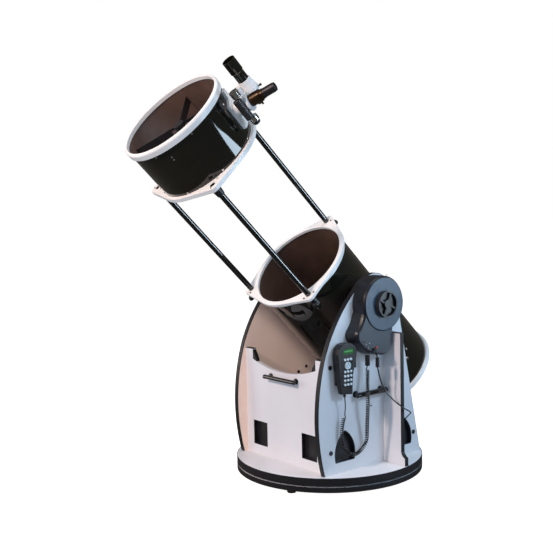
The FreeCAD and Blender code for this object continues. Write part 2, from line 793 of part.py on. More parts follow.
def make_mirror():
    back = DIM["mirror_back"]
    thickness = DIM["mirror_thickness"]
    focal = 1570.0
    blank = cylinder("dims.mirror_radius", "dims.mirror_thickness", (0, 0, back))
    bowl = doc.addObject("Part::Sphere", "mirror_bowl")
    bowl.Radius = 2.0 * focal
    bowl.Placement = Placement(Vector(0, 0, back + thickness - 5.0 + 2.0 * focal), Rotation())
    node("primary_mirror", cut(blank, [bowl]), TUBE)
    plate_disc = cylinder("dims.tube_radius - dims.tube_wall", 10.0, (0, 0, back - 24.0))
    vents = [cylinder(30.0, 10.0, polar(115.0, angle, back - 24.0)) for angle in (30, 90, 150, 210, 270, 330)]
    cell = cut(plate_disc, vents)
    rim = ring("dims.mirror_radius + 8", "dims.mirror_radius + 1", 34.0, (0, 0, back - 14.0))
    pads = [cylinder(22.0, 14.0, polar(105.0, angle, back - 14.0)) for angle in (0, 60, 120, 180, 240, 300)]
    node("mirror_cell", fuse([cell, rim] + pads), TUBE)
    knobs = []
    for angle in (60.0, 180.0, 300.0):
        stem = cylinder(4.0, 10.0, polar(160.0, angle, back - 34.0))
        grip = cylinder(14.0, 14.0, polar(160.0, angle, back - 48.0))
        knobs.append(fuse([stem, grip]))
    node("collimation_knobs", group(knobs), TUBE)


# Upper cage, in the tube's frame.

FOCUS_ANGLE = DIM["focuser_angle"]
FOCUS_STATION = DIM["focuser_station"]
OUT = Vector(*polar(1.0, FOCUS_ANGLE))
ACROSS = Vector(*polar(1.0, FOCUS_ANGLE + 90.0))


def focus_point(height, across=0.0, station=FOCUS_STATION):
    """A point on the focuser: height from the tube's axis, offset around it, station along it."""
    place = Vector(OUT).multiply(height).add(Vector(ACROSS).multiply(across))
    return (place.x, place.y, station)


def make_cage():
    low = DIM["cage_ring_bottom"]
    thick = DIM["cage_ring_thickness"]
    top = DIM["cage_tube_top"]
    shell = ring("dims.tube_radius", "dims.tube_radius - dims.tube_wall",
                 "dims.cage_tube_top - dims.cage_ring_bottom - dims.cage_ring_thickness", (0, 0, low + thick))
    port = cylinder("dims.drawtube_radius + 4", 60.0, focus_point(170.0), tuple(OUT))
    node("upper_tube", cut(shell, [port]), TUBE)
    body = plate("XY_Plane", lobed_outline(), low, "dims.cage_ring_thickness")
    tools = [cylinder("dims.ring_hole_radius", "dims.cage_ring_thickness", (0, 0, low))]
    for angle in ROD_ANGLES:
        tools.append(cylinder("dims.rod_radius", "dims.cage_ring_thickness",
                              polar(DIM["rod_circle_radius"], angle, low)))
    node("cage_lower_ring", cut(body, tools), TUBE)
    outline = [
        line((195, 979), (201.5, 979)),
        line((201.5, 979), (202.5, 996)),
        arc((202.5, 996), (199.6, 1003), (196.5, 1005.5)),
        line((196.5, 1005.5), (193.2, 1005.5)),
        arc((193.2, 1005.5), (191.9, 1004.6), (191.4, 1003)),
        line((191.4, 1003), (191.4, 990)),
        line((191.4, 990), (193.5, 990)),
        line((193.5, 990), (193.5, top)),
        line((193.5, top), (195, top)),
        line((195, top), (195, 979)),
    ]
    node("cage_top_ring", turned(outline), TUBE)


def make_rods():
    low = DIM["rod_bottom"]
    around = DIM["rod_circle_radius"]
    rods = []
    collars = []
    for angle in ROD_ANGLES:
        rod = cylinder("dims.rod_radius", "dims.cage_ring_bottom + dims.cage_ring_thickness - dims.rod_bottom",
                       polar(around, angle, low))
        hollow = cylinder("dims.rod_radius - dims.rod_wall",
                          "dims.cage_ring_bottom + dims.cage_ring_thickness - dims.rod_bottom",
                          polar(around, angle, low))
        rods.append(cut(rod, [hollow]))
        base = polar(around, angle, DIM["cage_ring_bottom"] - DIM["collar_length"])
        bell = cone("dims.rod_radius + 3", "dims.rod_radius + 7", "dims.collar_length", base)
        bore = cylinder("dims.rod_radius", "dims.collar_length", base)
        collars.append(cut(bell, [bore]))
    node("slide_rods", group(rods), TUBE)
    node("rod_collars", group(collars), TUBE)


def make_spider():
    station = DIM["spider_station"]
    hub = cylinder(20.0, "dims.vane_height + 4", (0, 0, station - 2.0))
    vanes = []
    reach = DIM["tube_radius"] - DIM["tube_wall"] - 0.1
    for quarter in range(4):
        angle = FOCUS_ANGLE + 90.0 * quarter
        turn = Rotation(Vector(0, 0, 1), angle)
        corner = turn.multVec(Vector(15.0, -DIM["vane_thickness"] / 2.0, station))
        vanes.append(box(reach - 15.0, "dims.vane_thickness", "dims.vane_height", tuple(corner), turn))
    mirror_room = cylinder(40.0, 18.0, (0, 0, station))
    node("spider", fuse([hub, cut(fuse(vanes), [mirror_room])]), TUBE)
    tilt = Rotation(Vector(0, 0, 1), FOCUS_ANGLE).multiply(Rotation(Vector(0, 1, 0), 135.0))
    mirror_face = Vector(0, 0, FOCUS_STATION)
    backing = mirror_face.sub(tilt.multVec(Vector(0, 0, 8.0)))
    slab_corner = backing.sub(tilt.multVec(Vector(60, 60, 0)))
    slab = box(120.0, 120.0, 8.0, tuple(slab_corner), tilt)
    barrel = cylinder(37.0, 110.0, (0, 0, FOCUS_STATION - 55.0))
    node("secondary_mirror", common(slab, barrel), TUBE)
    far = mirror_face.sub(tilt.multVec(Vector(0, 0, 128.0)))
    keep_corner = far.sub(tilt.multVec(Vector(80, 80, 0)))
    keep = box(160.0, 160.0, 120.0, tuple(keep_corner), tilt)
    block = cylinder(26.0, station - 2.0 - FOCUS_STATION + 40.0, (0, 0, FOCUS_STATION - 40.0))
    node("secondary_holder", common(block, keep), TUBE)


SHAFT_HEIGHT = 247.0
SHAFT_ACROSS = -28.0
FLANGE_HEIGHT = 258.0
SADDLE_OUTLINE = [(-24, 827), (-28, 832), (-28, 926), (5, 941), (14, 966), (46, 966), (46, 827)]


def make_focuser():
    saddle_block = plate("YZ_Plane", polygon(SADDLE_OUTLINE), 170.0, 60.0)
    moved(saddle_block, Placement(Vector(), Rotation(Vector(0, 0, 1), FOCUS_ANGLE)))
    dome = cylinder("dims.tube_radius + 10", 160.0, (0, 0, 820))
    hollow = cylinder("dims.tube_radius", 160.0, (0, 0, 820))
    saddle = cut(common(saddle_block, dome), [hollow])
    neck = cylinder("dims.drawtube_radius + 7", FLANGE_HEIGHT - 191.0, focus_point(192.0), tuple(OUT))
    neck_trimmed = cut(neck, [cylinder("dims.tube_radius", 120.0, (0, 0, 840))])
    flange = cylinder("dims.drawtube_radius + 12", 8.0, focus_point(FLANGE_HEIGHT), tuple(OUT))
    bore = cylinder("dims.drawtube_radius + dims.shaft_fit", 90.0, focus_point(185.0), tuple(OUT))
    shaft_way = cylinder("dims.focus_shaft_radius + dims.shaft_fit", 100.0,
                         focus_point(SHAFT_HEIGHT, SHAFT_ACROSS, FOCUS_STATION - 50.0))
    node("focuser_base", cut(fuse([saddle, neck_trimmed, flange]), [bore, shaft_way]), TUBE)
    block = cylinder("dims.focus_knob_radius - 1", 78.0,
                     focus_point(SHAFT_HEIGHT - 8.0, SHAFT_ACROSS - 4.0, FOCUS_STATION - 39.0))
    clear_neck = cylinder("dims.drawtube_radius + 7", 90.0, focus_point(200.0), tuple(OUT))
    clear_shaft = cylinder("dims.focus_shaft_radius + dims.shaft_fit", 100.0,
                           focus_point(SHAFT_HEIGHT, SHAFT_ACROSS, FOCUS_STATION - 50.0))
    node("focuser_roller_box", cut(block, [fuse([clear_neck, clear_shaft])]), TUBE)
    axle = cylinder("dims.focus_shaft_radius", 127.0, focus_point(SHAFT_HEIGHT, SHAFT_ACROSS, 839.0))
    upper_grip = cylinder("dims.focus_knob_radius", 24.0, focus_point(SHAFT_HEIGHT, SHAFT_ACROSS, 943.0))
    lower_grip = cylinder("dims.focus_knob_radius + 1", 16.5, focus_point(SHAFT_HEIGHT, SHAFT_ACROSS, 839.0))
    node("focus_shaft", fuse([axle, upper_grip, lower_grip]), TUBE)
    cap = cylinder("dims.fine_knob_radius", 11.0, focus_point(SHAFT_HEIGHT, SHAFT_ACROSS, 827.5))
    cap_end = cone("dims.fine_knob_radius - 3", "dims.fine_knob_radius", 3.0,
                   focus_point(SHAFT_HEIGHT, SHAFT_ACROSS, 824.5))
    node("fine_focus_knob", fuse([cap, cap_end]), TUBE)


def make_drawtube():
    barrel = cylinder("dims.drawtube_radius", "dims.drawtube_length", focus_point(196.0), tuple(OUT))
    collar = cylinder("dims.drawtube_radius - 4", 12.0, focus_point(308.0), tuple(OUT))
    bore = cylinder("dims.eyepiece_barrel_radius + dims.shaft_fit", 130.0, focus_point(194.0), tuple(OUT))
    screws = []
    for across in (-1.0, 1.0):
        side = Vector(ACROSS).multiply(across * 0.5).sub(Vector(0, 0, 0.866))
        start = Vector(*focus_point(301.0)).add(Vector(side).multiply(20.0))
        screws.append(cylinder(2.0, 7.0, tuple(start), tuple(side)))
        grip_start = start.add(Vector(side).multiply(5.0))
        screws.append(cylinder(3.5, 6.0, tuple(grip_start), tuple(side)))
    node("drawtube", cut(fuse([barrel, collar] + screws), [bore]), TUBE)
    insert = cylinder("dims.eyepiece_barrel_radius", 34.0, focus_point(286.4), tuple(OUT))
    body = cylinder("dims.eyepiece_radius", 38.0, focus_point(320.4), tuple(OUT))
    eye_cup = cone("dims.eyepiece_radius", "dims.eyepiece_radius - 1.5", 9.0, focus_point(358.4), tuple(OUT))
    dish = cylinder("dims.eyepiece_radius - 5", 4.0, focus_point(363.4), tuple(OUT))
    node("eyepiece", cut(fuse([insert, body, eye_cup]), [dish]), TUBE)


FINDER = Placement(Vector(*polar(DIM["finder_axis_radius"], DIM["finder_angle"])),
                   Rotation(Vector(0, 0, 1), DIM["finder_angle"]))


def make_finder():
    wide = DIM["finder_radius"]
    outline = [
        line((0, 803), (10.5, 803)),
        line((10.5, 803), (12, 806)),
        line((12, 806), (12, 822)),
        line((12, 822), (19.5, 834)),
        line((19.5, 834), (19.5, 913)),
        line((19.5, 913), (21.5, 915)),
        line((21.5, 915), (21.5, 946)),
        line((21.5, 946), (wide, 950)),
        line((wide, 950), (wide, 1001)),
        line((wide, 1001), (wide - 2.5, 1001)),
        line((wide - 2.5, 1001), (wide - 2.5, 975)),
        line((wide - 2.5, 975), (0, 975)),
        line((0, 975), (0, 803)),
    ]
    scope = turned(outline)
    node("finder_tube", moved(scope, FINDER), TUBE)
    sleeve_outline = [
        line((21, 856), (31, 856)),
        line((31, 856), (31, 872)),
        line((31, 872), (26, 896)),
        line((26, 896), (24.5, 911)),
        line((24.5, 911), (21, 911)),
        line((21, 911), (21, 856)),
    ]
    sleeve = turned(sleeve_outline)
    moved(sleeve, FINDER)
    turn = DIM["finder_angle"]
    foot = box(60.0, 26.0, 44.0, (0, 0, 0))
    foot_corner = Rotation(Vector(0, 0, 1), turn).multVec(Vector(190.0, -13.0, 862.0))
    foot.Placement = Placement(foot_corner, Rotation(Vector(0, 0, 1), turn))
    shoe = box(20.0, 46.0, 62.0, (0, 0, 0))
    shoe_corner = Rotation(Vector(0, 0, 1), turn).multVec(Vector(186.0, -23.0, 853.0))
    shoe.Placement = Placement(shoe_corner, Rotation(Vector(0, 0, 1), turn))
    barrel = cylinder("dims.tube_radius", 120.0, (0, 0, 830))
    room = cylinder(21.0, 120.0, polar(DIM["finder_axis_radius"], turn, 830.0))
    seats = []
    for lean in FINDER_SCREWS:
        axis = polar(1.0, turn + lean)
        start = Vector(*polar(DIM["finder_axis_radius"], turn, 864.0)).add(Vector(*axis).multiply(18.0))
        seats.append(cylinder(2.5, 20.0, tuple(start), axis))
    node("finder_bracket", cut(fuse([sleeve, foot, shoe]), [fuse([barrel, room]), group(seats)]), TUBE)


FINDER_SCREWS = (-38.0, 52.0)


def cage_knobs():
    """Finder adjusting screws and the round screw cap beside the focuser."""
    parts = []
    turn = DIM["finder_angle"]
    for lean in FINDER_SCREWS:
        axis = polar(1.0, turn + lean)
        centre = Vector(*polar(DIM["finder_axis_radius"], turn, 864.0))
        start = centre.add(Vector(*axis).multiply(19.8))
        stem = cylinder(2.5, 20.0, tuple(start), axis)
        grip = cylinder(4.5, 7.0, tuple(centre.add(Vector(*axis).multiply(37.0))), axis)
        parts.append(fuse([stem, grip]))
    boss = cylinder(20.0, 12.0, polar(190.0, 23.0, 952.0), polar(1.0, 23.0))
    parts.append(cut(boss, [cylinder("dims.tube_radius", 60.0, (0, 0, 930))]))
    return parts


def make_cage_screws():
    heads = []
    stations = []
    for turn in range(8):
        stations.append((972.0, -69.0 + 45.0 * turn))
        stations.append((803.0, -69.0 + 45.0 * turn))
    for quarter in range(4):
        stations.append((936.0, FOCUS_ANGLE + 90.0 * quarter))
        stations.append((948.0, FOCUS_ANGLE + 90.0 * quarter))
    for station, angle in stations:
        off = abs((angle - FOCUS_ANGLE + 180.0) % 360.0 - 180.0)
        near_finder = abs((angle - DIM["finder_angle"] + 180.0) % 360.0 - 180.0) < 14.0
        near_focuser = off < 20.0 and station < 970.0 and station > 825.0
        if near_focuser or (near_finder and 830.0 < station < 960.0):
            continue
        head = cylinder(3.6, 4.5, polar(192.0, angle, station), polar(1.0, angle))
        heads.append(cut(head, [cylinder("dims.tube_radius", 20.0, (0, 0, station - 10.0))]))
    node("cage_screws", group(heads + cage_knobs()), TUBE)


# Hand controller and its cords on the right panel.

CONTROLLER_OUTLINE = [(-202, 374), (-147, 368), (-143, 440), (-124, 505), (-122, 527), (-132, 547),
                      (-150, 557), (-170, 560), (-192, 555), (-210, 541), (-216, 520), (-209, 440)]


def make_controller():
    """The handset lies flat on a shallow holder on the right panel."""
    back = HALF + 8.0
    shell = plate("YZ_Plane", polygon(CONTROLLER_OUTLINE), back, "dims.controller_depth")
    face = back + DIM["controller_depth"]
    slope = plate("XZ_Plane", polygon([(back, 360), (back + 18, 360), (back, 470)]), 118.0, 102.0)
    window_room = box(3.0, 52.0, 20.0, (face - 3.0, -190, 519))
    key_room = box(4.5, 44.0, 112.0, (face - 4.5, -192, 396))
    node("hand_controller", cut(shell, [slope, window_room, key_room]))
    node("controller_display", box(2.0, 51.6, 19.6, (face - 2.8, -189.8, 519.2)))
    mat_back = face - 3.4
    pad_centre = (mat_back, -168.0, 477.0)
    mat = cut(box(1.5, 43.4, 111.4, (mat_back, -191.7, 396.3)), [cylinder(14.2, 1.5, pad_centre, (1, 0, 0))])
    keys = [mat]
    for across in (-183.0, -168.0, -153.0):
        keys.append(cylinder(4.5, 6.4, (mat_back, across, 500.0), (1, 0, 0)))
    for row in range(4):
        for column in range(3):
            keys.append(cylinder(4.5, 5.6, (mat_back, -183.0 + 15.0 * column, 455.0 - 16.0 * row), (1, 0, 0)))
    node("controller_keys", fuse(keys))
    pad = cylinder(13.5, 5.6, pad_centre, (1, 0, 0))
    dish = ring(9.5, 5.5, 2.0, (mat_back + 4.0, -168.0, 477.0), (1, 0, 0))
    node("direction_pad", cut(pad, [dish]))
    holder = box(7.7, 50.0, 120.0, (HALF, -200, 402))
    clip = box(30.0, 6.0, 34.0, (HALF, -121.5, 462))
    node("controller_bracket", group([holder, clip]))


CURLY_ROUTE = [(288, -62, 462), (289.5, -64.5, 420), (297, -72, 378), (299, -74, 330), (292, -69, 285),
               (281, -62, 225), (271, -54, 160), (269, -112, 122), (269, -165, 150), (269, -185, 205),
               (272, -182, 255), (277, -173, 292)]
TAIL_ROUTE = [(277, -173, 293), (280, -172, 316), (283, -175, 339), (285, -180, 360)]
LEAD_ROUTE = [(321.5, -43, 458), (319, -30, 414), (315, -2, 366), (332, 30, 322), (362, 56, 292), (362, 98, 270),
              (326, 126, 252), (300, 142, 236), (268, 160, 214), (237, 166, 192)]


def make_cords():
    coil = pipe(CURLY_ROUTE, "dims.curly_cord_radius")
    node("curly_cord", coil)
    tail = pipe(TAIL_ROUTE, "dims.tail_radius")
    node("cord_tail", tail)
    lead = pipe(LEAD_ROUTE, "dims.lead_radius")
    node("motor_lead", lead)
    plug = cylinder(9.0, 39.0, (288, -62, 462.5))
    collar = cylinder(5.0, 10.0, (285, -180, 360.5))
    ferrite = cylinder(7.5, 36.0, (321.5, -43, 458.3))
    stub = cylinder("dims.lead_radius", 34.0, (321.5, -43, 494.0), (0, -0.36, 1))
    jack = cylinder(4.5, 12.5, (DIM["housing_lobe_face"], -55, 526.5), (1, 0, 0))
    node("cord_plugs", group([plug, collar, fuse([ferrite, stub, jack])]))


make_ground()
make_turntable()
make_side_panels()
make_front_panel()
make_trims(make_fins())
make_handles()
make_panel_bolts()
make_liners()
make_housing()
make_drive()
make_tube_bearings()
make_tension_knob()
make_lower_tube()
make_rod_clamps()
make_mirror()
make_cage()
make_rods()
make_spider()
make_focuser()
make_drawtube()
make_finder()
make_cage_screws()
make_controller()
make_cords()
doc.recompute()

problems = []
for obj in doc.Objects:
    if "Invalid" in obj.State or "Error" in obj.State:
        problems.append("%s (%s): %s" % (obj.Name, obj.Label, obj.State))
for obj in NODES:
    shape = obj.Shape
    if shape.isNull() or not shape.isValid() or not shape.Solids:
        problems.append("%s has a bad shape" % obj.Label)
if problems:
    raise RuntimeError("; ".join(problems))

os.makedirs("parts", exist_ok=True)
for obj in NODES:
    bounds = obj.Shape.BoundBox
    print("%-22s solids %2d  volume %11.0f  x %.1f..%.1f  y %.1f..%.1f  z %.1f..%.1f" % (
        obj.Label, len(obj.Shape.Solids), obj.Shape.Volume, bounds.XMin, bounds.XMax,
        bounds.YMin, bounds.YMax, bounds.ZMin, bounds.ZMax))
    obj.Shape.exportStep("parts/%s.step" % obj.Label)
print("%d nodes" % len(NODES))
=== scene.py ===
import json
import math

import bmesh
import bpy
from mathutils import Matrix, Vector


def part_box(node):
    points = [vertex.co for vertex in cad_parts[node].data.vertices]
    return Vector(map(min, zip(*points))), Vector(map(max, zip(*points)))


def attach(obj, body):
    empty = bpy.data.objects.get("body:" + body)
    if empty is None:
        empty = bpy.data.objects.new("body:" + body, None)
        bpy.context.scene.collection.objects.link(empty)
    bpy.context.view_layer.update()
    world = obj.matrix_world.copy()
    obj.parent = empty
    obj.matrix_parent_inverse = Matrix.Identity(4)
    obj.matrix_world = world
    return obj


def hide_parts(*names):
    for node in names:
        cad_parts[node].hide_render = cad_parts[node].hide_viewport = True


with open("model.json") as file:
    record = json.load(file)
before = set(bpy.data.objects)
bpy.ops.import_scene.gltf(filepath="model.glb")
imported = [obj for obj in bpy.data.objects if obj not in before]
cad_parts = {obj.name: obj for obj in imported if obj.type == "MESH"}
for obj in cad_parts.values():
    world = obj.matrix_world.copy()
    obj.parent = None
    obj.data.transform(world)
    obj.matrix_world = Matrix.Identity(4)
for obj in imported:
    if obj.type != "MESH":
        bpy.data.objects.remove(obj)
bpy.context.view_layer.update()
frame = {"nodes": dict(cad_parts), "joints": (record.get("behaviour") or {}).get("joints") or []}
NODES = frame["nodes"]
JOINTS = {joint["name"]: joint for joint in frame["joints"]}

# The optical tube's own frame, read from the joints: origin on the altitude axis,
# third axis along the tube towards the sky.
PIVOT = Vector(JOINTS["altitude_turn"]["pos_m"])
SKY = Vector(JOINTS["cage_collapse"]["axis"])
SIDE = Vector((1.0, 0.0, 0.0))
UPPER = SKY.cross(SIDE)
OUT = Vector(JOINTS["focus_travel"]["axis"])

# Places on the tube, in degrees about its axis and metres from it or along it.
ROD_ANGLES = (90.0, 219.6, 320.4)
ROD_CIRCLE = 0.222
FINDER_ANGLE = 70.0
FINDER_CIRCLE = 0.279
CAP_ANGLE = 23.0
CAP_HEIGHT = 0.952
FOCUSER_HEIGHT = 0.895


def on_tube(radius, angle, height):
    """A point of the tube's frame, from its radius, its angle and its height along the tube."""
    turn = math.radians(angle)
    return PIVOT + SIDE * radius * math.cos(turn) + UPPER * radius * math.sin(turn) + SKY * height


def outward(angle):
    """The direction out from the tube's axis at that angle."""
    turn = math.radians(angle)
    return SIDE * math.cos(turn) + UPPER * math.sin(turn)


# Camera, at the photograph's place and angle.

def make_camera():
    data = bpy.data.cameras.new("camera")
    data.sensor_width = 36.0
    data.lens = 58.37
    data.shift_x = -0.01872
    data.shift_y = -0.00342
    data.clip_start = 0.05
    data.clip_end = 60.0
    camera = bpy.data.objects.new("camera", data)
    right = Vector((0.642968, 0.765647, -0.019421))
    up = Vector((-0.050554, 0.067728, 0.996422))
    back = Vector((0.764223, -0.639685, 0.082254))
    place = Vector((2.64537, -2.42097, 1.08451))
    camera.matrix_world = Matrix((
        (right.x, up.x, back.x, place.x),
        (right.y, up.y, back.y, place.y),
        (right.z, up.z, back.z, place.z),
        (0.0, 0.0, 0.0, 1.0),
    ))
    bpy.context.scene.collection.objects.link(camera)
    bpy.context.scene.camera = camera


make_camera()


# Materials.

def link(tree, source, target):
    tree.links.new(source, target)


def material(name, colour, rough, metallic=0.0, level=0.5, coat=0.0, tint=0.08, tint_scale=14.0,
             grain=0.0, grain_scale=900.0, rough_spread=0.08, bevel=0.0, wear=0.0):
    """A surface with cloudy colour, uneven gloss, a fine grain and softened, lightly worn edges."""
    made = bpy.data.materials.new(name)
    made.use_nodes = True
    tree = made.node_tree
    shader = tree.nodes["Principled BSDF"]
    shader.inputs["Metallic"].default_value = metallic
    shader.inputs["Specular IOR Level"].default_value = level
    shader.inputs["Coat Weight"].default_value = coat
    shader.inputs["Coat Roughness"].default_value = 0.05
    place = tree.nodes.new("ShaderNodeTexCoord")

    cloud = tree.nodes.new("ShaderNodeTexNoise")
    cloud.inputs["Scale"].default_value = tint_scale
    cloud.inputs["Detail"].default_value = 4.0
    link(tree, place.outputs["Object"], cloud.inputs["Vector"])
    ramp = tree.nodes.new("ShaderNodeValToRGB")
    ramp.color_ramp.elements[0].position = 0.3
    ramp.color_ramp.elements[1].position = 0.7
    ramp.color_ramp.elements[0].color = [c * (1.0 - tint) for c in colour] + [1.0]
    ramp.color_ramp.elements[1].color = [min(1.0, c * (1.0 + tint)) for c in colour] + [1.0]
    link(tree, cloud.outputs["Fac"], ramp.inputs["Fac"])
    base = ramp.outputs["Color"]

    if wear > 0.0:
        edge = tree.nodes.new("ShaderNodeNewGeometry")
        sharp = tree.nodes.new("ShaderNodeMapRange")
        sharp.inputs["From Min"].default_value = 0.53
        sharp.inputs["From Max"].default_value = 0.62
        sharp.inputs["To Max"].default_value = wear
        link(tree, edge.outputs["Pointiness"], sharp.inputs["Value"])
        mix = tree.nodes.new("ShaderNodeMix")
        mix.data_type = "RGBA"
        mix.inputs[7].default_value = [min(1.0, c * 3.0 + 0.05) for c in colour] + [1.0]
        link(tree, sharp.outputs["Result"], mix.inputs[0])
        link(tree, base, mix.inputs[6])
        base = mix.outputs[2]
    link(tree, base, shader.inputs["Base Color"])

    smear = tree.nodes.new("ShaderNodeTexNoise")
    smear.inputs["Scale"].default_value = tint_scale * 3.1
    smear.inputs["Detail"].default_value = 3.0
    link(tree, place.outputs["Object"], smear.inputs["Vector"])
    gloss = tree.nodes.new("ShaderNodeMapRange")
    gloss.inputs["From Min"].default_value = 0.3
    gloss.inputs["From Max"].default_value = 0.7
    gloss.inputs["To Min"].default_value = max(0.02, rough - rough_spread)
    gloss.inputs["To Max"].default_value = min(1.0, rough + rough_spread)
    link(tree, smear.outputs["Fac"], gloss.inputs["Value"])
    link(tree, gloss.outputs["Result"], shader.inputs["Roughness"])

    normal = None
    if bevel > 0.0:
        soft = tree.nodes.new("ShaderNodeBevel")
        soft.samples = 4
        soft.inputs["Radius"].default_value = bevel
        normal = soft.outputs["Normal"]
    if grain > 0.0:
        speck = tree.nodes.new("ShaderNodeTexNoise")
        speck.inputs["Scale"].default_value = grain_scale
        speck.inputs["Detail"].default_value = 2.0
        link(tree, place.outputs["Object"], speck.inputs["Vector"])
        bump = tree.nodes.new("ShaderNodeBump")
        bump.inputs["Strength"].default_value = grain
        bump.inputs["Distance"].default_value = 0.0004
        link(tree, speck.outputs["Fac"], bump.inputs["Height"])
        if normal is not None:
            link(tree, normal, bump.inputs["Normal"])
        normal = bump.outputs["Normal"]
    if normal is not None:
        link(tree, normal, shader.inputs["Normal"])
    return made


LAMINATE = material("white_laminate", (0.80, 0.80, 0.80), 0.42, tint=0.03, tint_scale=5.0,
                    grain=0.12, grain_scale=420.0, bevel=0.0012)
# Front panel and brace fins: the laminate with a faint painted pink cast, standing in for the warm key light
# that falls on them from the front.
LAMINATE_PAINTED_KEY_LIGHT = material("front_laminate_painted_key_light", (0.80, 0.79, 0.80), 0.42, tint=0.03, tint_scale=5.0,
                          grain=0.12, grain_scale=420.0, bevel=0.0012)
# Inner faces of the side panels: the laminate painted warm, standing in for the warm bounce light inside the
# rocker box.
LAMINATE_PAINTED_BOUNCE = material("inner_laminate_painted_bounce", (0.88, 0.66, 0.56), 0.5, tint=0.06, tint_scale=6.0,
                          grain=0.12, grain_scale=420.0)
EDGE = material("edge_trim", (0.010, 0.010, 0.012), 0.45, level=0.35, tint=0.2, tint_scale=30.0,
                grain=0.25, grain_scale=700.0, bevel=0.002, wear=0.05)
RUBBER = material("rubber", (0.02, 0.02, 0.02), 0.75, tint=0.2, tint_scale=60.0,
                  grain=0.6, grain_scale=1500.0)
STEEL = material("machined_steel", (0.42, 0.42, 0.42), 0.32, metallic=1.0, tint=0.1, tint_scale=40.0,
                 grain=0.15, bevel=0.0005)
CHROME = material("chrome", (0.72, 0.73, 0.75), 0.12, metallic=1.0, tint=0.04, tint_scale=30.0,
                  rough_spread=0.04, bevel=0.0006)
ENAMEL = material("black_enamel", (0.008, 0.0075, 0.005), 0.035, coat=0.35, tint=0.25, tint_scale=7.0,
                  grain=0.02, grain_scale=260.0, rough_spread=0.012)
ENAMEL_INNER = material("inner_enamel", (0.115, 0.062, 0.042), 0.62, tint=0.25, tint_scale=9.0,
                        grain=0.4, grain_scale=700.0)
ROD_GLOSS = material("rod_gloss", (0.005, 0.006, 0.006), 0.06, coat=0.5, tint=0.2, tint_scale=20.0,
                     rough_spread=0.015)
CASTING = material("white_casting", (0.93, 0.91, 0.86), 0.36, tint=0.04, tint_scale=12.0,
                   grain=0.25, grain_scale=900.0, bevel=0.0015)
BLACK_CASTING = material("black_casting", (0.014, 0.014, 0.016), 0.42, tint=0.2, tint_scale=30.0,
                         grain=0.4, grain_scale=1100.0, bevel=0.001, wear=0.1)
HOUSING = material("drive_cover", (0.010, 0.012, 0.016), 0.36, level=0.4, tint=0.15, tint_scale=16.0,
                   grain=0.4, grain_scale=800.0, bevel=0.003, wear=0.03)
# Drive cover faces towards +X: painted navy, and bluer and brighter on the outer disc, standing in for the
# cool light from the right.
HOUSING_DISC_PAINTED_COOL_LIGHT = material("drive_disc_painted_cool_light", (0.030, 0.062, 0.098), 0.42, tint=0.12, tint_scale=12.0,
                        grain=0.4, grain_scale=900.0, bevel=0.003)
HOUSING_RIGHT_FACES_PAINTED_COOL = material("drive_right_faces_painted_cool_light", (0.014, 0.026, 0.042), 0.42, tint=0.12, tint_scale=12.0,
                        grain=0.4, grain_scale=900.0, bevel=0.003)
PLASTIC = material("black_plastic", (0.012, 0.012, 0.014), 0.4, tint=0.2, tint_scale=30.0,
                   grain=0.4, grain_scale=1200.0, bevel=0.0012, wear=0.08)
HANDLE = material("handle_gloss", (0.004, 0.004, 0.005), 0.10, coat=0.3, tint=0.2, tint_scale=30.0,
                  rough_spread=0.04, bevel=0.0012)
SHELL = material("handset_shell", (0.007, 0.007, 0.008), 0.36, level=0.4, tint=0.2, tint_scale=40.0,
                 grain=0.35, grain_scale=1400.0, bevel=0.003)
MIRROR = material("mirror_coating", (0.86, 0.87, 0.88), 0.03, metallic=1.0, tint=0.01, rough_spread=0.01)
LENS = material("lens_coating", (0.02, 0.03, 0.05), 0.04, level=0.9, coat=1.0, tint=0.3, tint_scale=20.0,
                rough_spread=0.01)
BRONZE = material("bronze_black", (0.055, 0.034, 0.018), 0.3, metallic=0.8, tint=0.1, tint_scale=20.0,
                  rough_spread=0.03, bevel=0.0006)
KEYS = material("keys", (0.80, 0.90, 0.92), 0.5, tint=0.08, tint_scale=80.0,
                grain=0.3, grain_scale=1500.0, bevel=0.0012)
DISPLAY = material("display", (0.03, 0.15, 0.03), 0.2, tint=0.25, tint_scale=120.0, rough_spread=0.02)
DISPLAY_LINE = material("display_line", (0.07, 0.42, 0.07), 0.3, tint=0.2, tint_scale=160.0)
CORD = material("cord_sheath", (0.009, 0.009, 0.010), 0.27, coat=0.3, tint=0.2, tint_scale=80.0,
                grain=0.1, grain_scale=1800.0)
RED = material("red_mark", (0.5, 0.02, 0.015), 0.4, tint=0.15, tint_scale=90.0)

